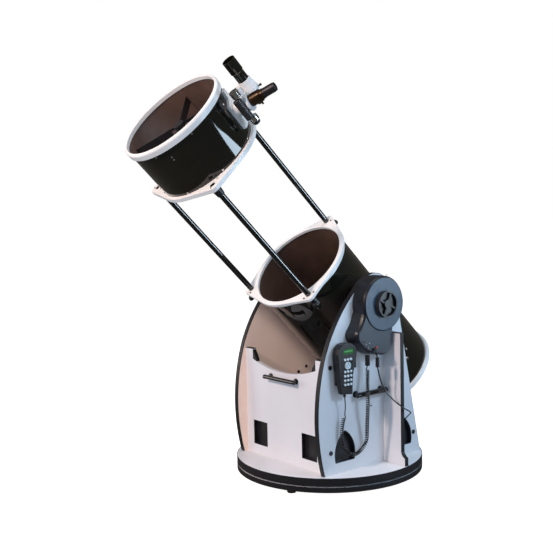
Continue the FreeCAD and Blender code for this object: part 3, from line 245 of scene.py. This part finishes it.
NODE_MATERIALS = {
    LAMINATE: ["ground_board", "turntable_board", "side_panel_right", "side_panel_left"],
    # The front panel and fins take the laminate with painted warm key light.
    LAMINATE_PAINTED_KEY_LIGHT: ["front_panel", "brace_fins"],
    EDGE: ["ground_edge_band", "turntable_edge_band", "panel_trims"],
    RUBBER: ["ground_feet"],
    STEEL: ["azimuth_ring", "azimuth_pivot_bolt", "altitude_motor", "altitude_worm", "altitude_shaft"],
    CHROME: ["focus_shaft", "cage_screws"],
    ENAMEL: ["lower_tube", "upper_tube", "finder_tube"],
    ROD_GLOSS: ["slide_rods"],
    CASTING: ["lower_ring", "bottom_ring", "cage_top_ring", "cage_lower_ring", "focuser_base",
              "finder_bracket"],
    BLACK_CASTING: ["mirror_cell", "trunnion_hubs", "rod_clamps", "spider", "secondary_holder",
                    "focuser_roller_box"],
    BRONZE: ["drawtube"],
    HOUSING: ["altitude_housing"],
    HANDLE: ["bar_handles"],
    PLASTIC: ["corner_brackets", "panel_bolts", "cutout_liners", "altitude_bearings",
              "azimuth_drive", "controller_bracket", "cord_plugs", "collimation_knobs", "rod_collars",
              "rod_knob_top", "rod_knob_left", "rod_knob_right", "tension_knob", "fine_focus_knob",
              "eyepiece"],
    SHELL: ["hand_controller", "controller_keys"],
    DISPLAY: ["controller_display"],
    KEYS: ["direction_pad"],
    MIRROR: ["primary_mirror", "secondary_mirror"],
    CORD: ["curly_cord", "cord_tail", "motor_lead"],
}


def paint(node, made):
    """Give a whole CAD node one material."""
    mesh = NODES[node].data
    mesh.materials.clear()
    mesh.materials.append(made)
    for polygon in mesh.polygons:
        polygon.material_index = 0


def second_finish(node, made, test):
    """Faces of a CAD node that pass the test get a second finish."""
    mesh = NODES[node].data
    mesh.materials.append(made)
    index = len(mesh.materials) - 1
    for polygon in mesh.polygons:
        if test(polygon.center, polygon.normal):
            polygon.material_index = index


def faces_axis(point, normal):
    """True for a face on the inner side of a tube."""
    away = point - PIVOT
    radial = away - SKY * away.dot(SKY)
    return radial.dot(normal) < 0.0 and abs(normal.dot(SKY)) < 0.5


def faces_right(point, normal):
    return normal.x > 0.9


def faces_left(point, normal):
    return normal.x < -0.9


def on_key_top(point, normal):
    return point.x > KEY_MAT_FRONT


def on_cover_disc(point, normal):
    return faces_right(point, normal) and point.x > COVER_FRONT - 0.002


def on_black_screw(point, normal):
    return (point - ROUND_CAP).length < 0.03 or (point - FINDER_RING).length < 0.055


KEY_MAT_FRONT = 0.2912
COVER_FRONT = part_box("altitude_housing")[1].x
ROUND_CAP = on_tube(0.200, CAP_ANGLE, CAP_HEIGHT)
FINDER_RING = on_tube(FINDER_CIRCLE, FINDER_ANGLE, 0.864)

for made, names in NODE_MATERIALS.items():
    for name in names:
        paint(name, made)
second_finish("controller_keys", KEYS, on_key_top)
second_finish("cage_screws", PLASTIC, on_black_screw)
# Painted cool light on the drive cover: its right-facing faces, and more on its outer disc.
second_finish("altitude_housing", HOUSING_RIGHT_FACES_PAINTED_COOL, faces_right)
second_finish("altitude_housing", HOUSING_DISC_PAINTED_COOL_LIGHT, on_cover_disc)
second_finish("lower_tube", ENAMEL_INNER, faces_axis)
second_finish("upper_tube", ENAMEL_INNER, faces_axis)
# Painted warm bounce light on the inner faces of both side panels.
second_finish("side_panel_left", LAMINATE_PAINTED_BOUNCE, faces_right)
second_finish("side_panel_right", LAMINATE_PAINTED_BOUNCE, faces_left)


# Mesh helpers.

def frame_to(origin, axis):
    """The placement that puts local +Z on the axis, at the origin."""
    turn = Vector((0.0, 0.0, 1.0)).rotation_difference(Vector(axis))
    return Matrix.Translation(origin) @ turn.to_matrix().to_4x4()


def add_lathe(bm, profile, place, segments):
    """Turn a profile of (radius, height) points about local Z. It is closed where it meets the axis."""
    rings = []
    for radius, height in profile:
        if radius <= 1e-7:
            rings.append([bm.verts.new(place @ Vector((0.0, 0.0, height)))])
            continue
        loop = []
        for step in range(segments):
            turn = 2.0 * math.pi * step / segments
            spot = Vector((radius * math.cos(turn), radius * math.sin(turn), height))
            loop.append(bm.verts.new(place @ spot))
        rings.append(loop)
    for low, high in zip(rings, rings[1:]):
        for step in range(segments):
            after = (step + 1) % segments
            if len(low) == 1 and len(high) == 1:
                continue
            if len(low) == 1:
                bm.faces.new((low[0], high[after], high[step]))
            elif len(high) == 1:
                bm.faces.new((low[step], low[after], high[0]))
            else:
                bm.faces.new((low[step], low[after], high[after], high[step]))


SCREW_SIDES = 20


def add_screw(bm, radius, height, place, direction):
    """A round-headed socket screw, from under its head to the bottom of its socket."""
    profile = [(0.0, 0.0), (radius, 0.0), (radius, height * 0.55), (radius * 0.8, height),
               (radius * 0.5, height), (radius * 0.5, height * 0.4), (0.0, height * 0.4)]
    add_lathe(bm, profile, frame_to(place, direction), SCREW_SIDES)


def add_box(bm, size, place):
    made = bmesh.ops.create_cube(bm, size=1.0)
    scale = Matrix.Diagonal((size[0], size[1], size[2], 1.0))
    bmesh.ops.transform(bm, matrix=place @ scale, verts=made["verts"])


def build(name, maker, made, body):
    """A piece that the maker draws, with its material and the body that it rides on."""
    bm = bmesh.new()
    maker(bm)
    bmesh.ops.recalc_face_normals(bm, faces=bm.faces)
    mesh = bpy.data.meshes.new(name)
    bm.to_mesh(mesh)
    bm.free()
    mesh.shade_smooth()
    mesh.set_sharp_from_angle(angle=math.radians(35.0))
    mesh.materials.append(made)
    piece = bpy.data.objects.new(name, mesh)
    bpy.context.scene.collection.objects.link(piece)
    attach(piece, body)
    return piece


# Cords: a control polygon of listed points for each, as the frame's tubes have.

CURLY_ROUTE = [(0.288, -0.062, 0.462), (0.2895, -0.0645, 0.420), (0.297, -0.072, 0.378),
               (0.299, -0.074, 0.330), (0.292, -0.069, 0.285), (0.281, -0.062, 0.225),
               (0.271, -0.054, 0.160), (0.269, -0.112, 0.122), (0.269, -0.165, 0.150),
               (0.269, -0.185, 0.205), (0.272, -0.182, 0.255), (0.277, -0.173, 0.292)]
TAIL_ROUTE = [(0.277, -0.173, 0.293), (0.280, -0.172, 0.316), (0.283, -0.175, 0.339),
              (0.285, -0.180, 0.360)]
LEAD_ROUTE = [(0.3215, -0.043, 0.458), (0.319, -0.030, 0.414), (0.315, -0.002, 0.366),
              (0.332, 0.030, 0.322), (0.362, 0.056, 0.292), (0.362, 0.098, 0.270),
              (0.326, 0.126, 0.252), (0.300, 0.142, 0.236), (0.268, 0.160, 0.214),
              (0.237, 0.166, 0.192)]
SHEATH = 0.0040
LEAD_SHEATH = 0.005
COIL_OUTSIDE = 0.0162
COIL_PITCH = 0.0072
COIL_START = 0.016
COIL_STOP = 0.012
TURN_POINTS = 12


def nurbs(name, points, thickness, resolution):
    """A round tube along the spline that has these control points."""
    curve = bpy.data.curves.new(name, "CURVE")
    curve.dimensions = "3D"
    curve.resolution_u = resolution
    spline = curve.splines.new("NURBS")
    spline.points.add(len(points) - 1)
    for point, place in zip(spline.points, points):
        point.co = (*place, 1.0)
    spline.order_u = 3
    spline.use_endpoint_u = True
    curve.bevel_depth = thickness / 2.0
    curve.bevel_resolution = 3
    curve.use_fill_caps = True
    piece = bpy.data.objects.new(name, curve)
    bpy.context.scene.collection.objects.link(piece)
    return piece


def centreline(points):
    """Points along the route's own spline, read from a curve with no bevel."""
    guide = nurbs("guide", points, 0.0, 24)
    bpy.context.view_layer.update()
    mesh = bpy.data.meshes.new_from_object(guide.evaluated_get(bpy.context.evaluated_depsgraph_get()))
    line = [vertex.co.copy() for vertex in mesh.vertices]
    bpy.data.meshes.remove(mesh)
    bpy.data.objects.remove(guide)
    return line


def line_length(line):
    return sum((b - a).length for a, b in zip(line, line[1:]))


def place_on(line, distance):
    """The point and direction that far along a line of points."""
    for a, b in zip(line, line[1:]):
        step = (b - a).length
        if distance <= step:
            return a.lerp(b, distance / step), (b - a).normalized()
        distance -= step
    return line[-1].copy(), (line[-1] - line[-2]).normalized()


def helix(line, radius, pitch, start, end):
    """A coil's points around a line, with a frame carried along it so that the turns stay even."""
    points = []
    _, along = place_on(line, start)
    side = along.orthogonal().normalized()
    count = int(round((end - start) / pitch * TURN_POINTS))
    for step in range(count + 1):
        distance = start + (end - start) * step / count
        centre, along = place_on(line, distance)
        side = (side - along * side.dot(along)).normalized()
        other = along.cross(side)
        turn = 2.0 * math.pi * step / TURN_POINTS
        points.append(centre + (side * math.cos(turn) + other * math.sin(turn)) * radius)
    return points


def make_cords():
    line = centreline(CURLY_ROUTE)
    coil = helix(line, (COIL_OUTSIDE - SHEATH) / 2.0, COIL_PITCH, COIL_START, line_length(line) - COIL_STOP)
    points = [Vector(CURLY_ROUTE[0])] + coil + [Vector(place) for place in TAIL_ROUTE]
    curly = nurbs("handset_cord", points, SHEATH, 2)
    curly.data.materials.append(CORD)
    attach(curly, "rocker")
    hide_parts("curly_cord", "cord_tail")
    lead = nurbs("drive_lead", LEAD_ROUTE, LEAD_SHEATH, 10)
    lead.data.materials.append(CORD)
    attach(lead, "rocker")
    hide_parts("motor_lead")
    line_length(centreline(LEAD_ROUTE))


make_cords()


# Details that ride on the frame.

def make_ring_screws():
    """Small screws in the lower ring and in the cage's lower ring, beside each rod."""
    lower_top = 0.2134
    cage_top = 0.797

    def lower(bm):
        for angle in ROD_ANGLES:
            for side in (-5.5, 5.5):
                add_screw(bm, 0.0036, 0.002, on_tube(0.228, angle + side, lower_top), SKY)

    build("lower_ring_screws", lower, BLACK_CASTING, "tube")

    def upper(bm):
        for angle in ROD_ANGLES:
            add_screw(bm, 0.004, 0.002, on_tube(0.207, angle + 6.5, cage_top), SKY)
            add_screw(bm, 0.003, 0.002, on_tube(0.238, angle - 2.0, cage_top), SKY)

    build("cage_ring_screws", upper, STEEL, "cage")


def make_lock_screws():
    """Four bright screws below each rod's place on the lower tube."""

    def maker(bm):
        for angle in ROD_ANGLES:
            for turn, height in ((-4.0, 0.180), (4.0, 0.180), (-10.0, 0.196), (10.0, 0.196)):
                add_screw(bm, 0.0045, 0.005, on_tube(0.199, angle + turn, height), outward(angle + turn))

    build("tube_lock_screws", maker, CHROME, "tube")


def make_rods():
    """The three slide rods, turned as smooth tubes."""
    low, high = 0.138, 0.7955
    outside, inside = 0.011, 0.009
    chamfer = 0.0008
    length = high - low
    profile = [(inside, 0.0), (outside - chamfer, 0.0), (outside, chamfer), (outside, length - chamfer),
               (outside - chamfer, length), (inside, length), (inside, 0.0)]

    def maker(bm):
        for angle in ROD_ANGLES:
            add_lathe(bm, profile, frame_to(on_tube(ROD_CIRCLE, angle, low), SKY), 64)
        bmesh.ops.remove_doubles(bm, verts=bm.verts, dist=1e-6)

    rods = build("cage_rods", maker, ROD_GLOSS, "cage")
    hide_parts("slide_rods")


def make_glass():
    """The finder's two lenses and the eyepiece's."""
    front = on_tube(FINDER_CIRCLE, FINDER_ANGLE, 0.9752)
    rear = on_tube(FINDER_CIRCLE, FINDER_ANGLE, 0.8029)
    eye = PIVOT + OUT * 0.3635 + SKY * FOCUSER_HEIGHT

    def objective(bm):
        profile = [(0.0, 0.0), (0.0215, 0.0), (0.0215, 0.0012), (0.018, 0.0028), (0.011, 0.0042),
                   (0.0, 0.005)]
        add_lathe(bm, profile, frame_to(front, SKY), 48)

    def ocular(bm):
        profile = [(0.0, 0.0), (0.0075, 0.0), (0.0075, 0.0006), (0.0, 0.0016)]
        add_lathe(bm, profile, frame_to(rear, -SKY), 32)

    def lens(bm):
        profile = [(0.0, 0.0), (0.0112, 0.0), (0.0105, 0.0008), (0.0, 0.002)]
        add_lathe(bm, profile, frame_to(eye, OUT), 32)

    build("finder_objective", objective, LENS, "cage")
    build("finder_ocular", ocular, LENS, "cage")
    build("eyepiece_lens", lens, LENS, "eyepiece")


def make_jacks():
    """Sockets and a marker on the drive cover's lower face."""
    face = COVER_FRONT - 0.0045
    sockets = [(-0.107, 0.561), (-0.094, 0.547), (-0.078, 0.550), (-0.083, 0.533)]
    marker = (-0.040, 0.531)

    def nuts(bm):
        profile = [(0.0, 0.0), (0.0042, 0.0), (0.0042, 0.0025), (0.0034, 0.0038), (0.0022, 0.0038),
                   (0.0022, 0.0008), (0.0, 0.0008)]
        for y, z in sockets:
            add_lathe(bm, profile, frame_to(Vector((face, y, z)), SIDE), 24)

    build("drive_sockets", nuts, CHROME, "rocker")

    def mark(bm):
        profile = [(0.0, 0.0), (0.005, 0.0), (0.005, 0.003), (0.003, 0.0045), (0.0, 0.005)]
        add_lathe(bm, profile, frame_to(Vector((face, *marker)), SIDE), 20)

    build("drive_marker", mark, RED, "rocker")


def make_cover_screws():
    """Bright screws: one at the middle of the round cap, one on top of the drive cover, two on the tube."""
    cover_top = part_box("altitude_housing")[1].z

    def cap(bm):
        add_screw(bm, 0.0045, 0.003, on_tube(0.2015, CAP_ANGLE, CAP_HEIGHT), outward(CAP_ANGLE))

    def cover(bm):
        add_screw(bm, 0.0045, 0.003, Vector((0.308, 0.024, cover_top - 0.0005)), (0.0, 0.0, 1.0))

    def tube(bm):
        for angle, height in ((4.7, -0.326), (-2.2, -0.355)):
            add_screw(bm, 0.006, 0.004, on_tube(0.1985, angle, height), outward(angle))

    build("cap_screw", cap, CHROME, "cage")
    build("drive_cover_screw", cover, CHROME, "rocker")
    build("tube_screws", tube, CHROME, "tube")


def make_handset_marks():
    """Arrows on the direction pad and a line on the display."""
    pad_low, pad_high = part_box("direction_pad")
    pad_middle = (pad_low + pad_high) / 2.0
    reach = (pad_high.z - pad_low.z) / 2.0
    screen_low, screen_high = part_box("controller_display")
    screen = screen_high - screen_low

    def arrows(bm):
        centre = Matrix.Translation((pad_high.x, pad_middle.y, pad_middle.z))
        towards_rim = Matrix.Translation((0.0, 0.0, reach * 0.55))
        for quarter in range(4):
            turn = Matrix.Rotation(math.pi * quarter / 2.0, 4, "X")
            add_box(bm, (0.0006, reach * 0.16, reach * 0.5), centre @ turn @ towards_rim)

    def line(bm):
        place = (screen_high.x, screen_low.y + screen.y / 2.0, screen_low.z + screen.z * 0.55)
        add_box(bm, (0.0004, screen.y * 0.8, screen.z * 0.28), Matrix.Translation(place))

    build("pad_arrows", arrows, PLASTIC, "direction_pad")
    build("display_line", line, DISPLAY_LINE, "rocker")


make_rods()
make_ring_screws()
make_lock_screws()
make_glass()
make_jacks()
make_cover_screws()
make_handset_marks()


# Floor, light and background.

def background(tree, colour, strength):
    """A plain background shader."""
    shade = tree.nodes.new("ShaderNodeBackground")
    shade.inputs["Color"].default_value = list(colour) + [1.0]
    shade.inputs["Strength"].default_value = strength
    return shade


def make_floor():
    """A pale floor that glows a little, so that it reads as white paper, and that lights nothing."""
    made = material("floor", (0.88, 0.88, 0.88), 0.8, tint=0.01, tint_scale=2.0, level=0.1)
    shader = made.node_tree.nodes["Principled BSDF"]
    shader.inputs["Emission Color"].default_value = (1.0, 0.93, 0.84, 1.0)
    shader.inputs["Emission Strength"].default_value = 0.86
    bm = bmesh.new()
    bmesh.ops.create_grid(bm, x_segments=1, y_segments=1, size=30.0)
    mesh = bpy.data.meshes.new("floor")
    bm.to_mesh(mesh)
    bm.free()
    mesh.materials.append(made)
    floor = bpy.data.objects.new("floor", mesh)
    floor.visible_diffuse = False
    floor.visible_glossy = False
    bpy.context.scene.collection.objects.link(floor)


def make_world():
    """White behind the object, a cool soft fill, and a darker room in the reflections."""
    world = bpy.data.worlds.new("studio")
    bpy.context.scene.world = world
    world.use_nodes = True
    tree = world.node_tree
    tree.nodes.clear()
    output = tree.nodes.new("ShaderNodeOutputWorld")
    rays = tree.nodes.new("ShaderNodeLightPath")
    seen = background(tree, (1.0, 1.0, 1.0), 1.0)
    fill = background(tree, FILL_COLOUR, FILL_STRENGTH)
    room = background(tree, ROOM_COLOUR, ROOM_STRENGTH)
    soft = tree.nodes.new("ShaderNodeMixShader")
    link(tree, rays.outputs["Is Glossy Ray"], soft.inputs[0])
    link(tree, fill.outputs["Background"], soft.inputs[1])
    link(tree, room.outputs["Background"], soft.inputs[2])
    mix = tree.nodes.new("ShaderNodeMixShader")
    link(tree, rays.outputs["Is Camera Ray"], mix.inputs[0])
    link(tree, soft.outputs["Shader"], mix.inputs[1])
    link(tree, seen.outputs["Background"], mix.inputs[2])
    link(tree, mix.outputs["Shader"], output.inputs["Surface"])


def area_light(name, place, target, width, height, power, colour, only=None, glossy=True):
    """A soft rectangular light. With only, it lights no object but that node."""
    data = bpy.data.lights.new(name, "AREA")
    data.shape = "RECTANGLE"
    data.size = width
    data.size_y = height
    data.energy = power
    data.color = colour
    light = bpy.data.objects.new(name, data)
    light.location = place
    light.rotation_mode = "QUATERNION"
    light.rotation_quaternion = (Vector(target) - Vector(place)).to_track_quat("-Z", "Y")
    light.visible_glossy = glossy
    bpy.context.scene.collection.objects.link(light)
    if only:
        lit = bpy.data.collections.new(name + "_lit")
        lit.objects.link(NODES[only])
        light.light_linking.receiver_collection = lit


def make_card(name, corners, strength):
    """A light card, far to the right. It shows in glossy surfaces only."""
    made = bpy.data.materials.new(name + "_light")
    made.use_nodes = True
    shader = made.node_tree.nodes["Principled BSDF"]
    shader.inputs["Base Color"].default_value = (0.0, 0.0, 0.0, 1.0)
    shader.inputs["Emission Color"].default_value = (0.66, 0.83, 1.0, 1.0)
    shader.inputs["Emission Strength"].default_value = strength
    bm = bmesh.new()
    bm.faces.new([bm.verts.new(corner) for corner in corners])
    mesh = bpy.data.meshes.new(name)
    bm.to_mesh(mesh)
    bm.free()
    mesh.materials.append(made)
    card = bpy.data.objects.new(name, mesh)
    card.visible_camera = False
    card.visible_diffuse = False
    bpy.context.scene.collection.objects.link(card)


FILL_COLOUR = (0.62, 0.78, 1.0)
FILL_STRENGTH = 0.44
ROOM_COLOUR = (1.0, 0.92, 0.8)
ROOM_STRENGTH = 0.10
CAGE_CARD = [(2.673, 0.974, 1.607), (2.790, 0.919, 1.039), (2.169, 1.648, 1.799)]
ROD_CARD = [(2.44, 1.41, 0.33), (2.69, 0.89, 0.98), (2.47, 1.27, 1.32), (2.22, 1.79, 0.67)]

make_floor()
make_world()
make_card("cage_card", CAGE_CARD, 12.0)
make_card("rod_card", ROD_CARD, 30.0)
area_light("key_front", (0.40, -3.6, 2.6), (0.0, 0.0, 0.4), 0.4, 0.4, 95.0, (1.0, 0.80, 0.74))
area_light("side_front", (-3.4, -2.6, 1.2), (0.0, 0.0, 0.5), 1.6, 2.0, 38.0, (1.0, 0.90, 0.88))
area_light("side_right", (1.6, 0.35, 1.3), (0.3, 0.0, 0.6), 0.35, 0.35, 11.0, (0.50, 0.72, 1.0), glossy=False)
area_light("top", (0.4, 0.3, 4.2), (0.0, -0.1, 0.4), 2.6, 2.6, 48.0, (0.95, 0.95, 1.0))
area_light("inner_panel", (2.2, -1.9, 1.5), (-0.28, -0.1, 0.6), 0.8, 0.8, 30.0, (1.0, 0.93, 0.86),
           only="side_panel_left", glossy=False)

scene = bpy.context.scene
scene.view_settings.view_transform = "Standard"
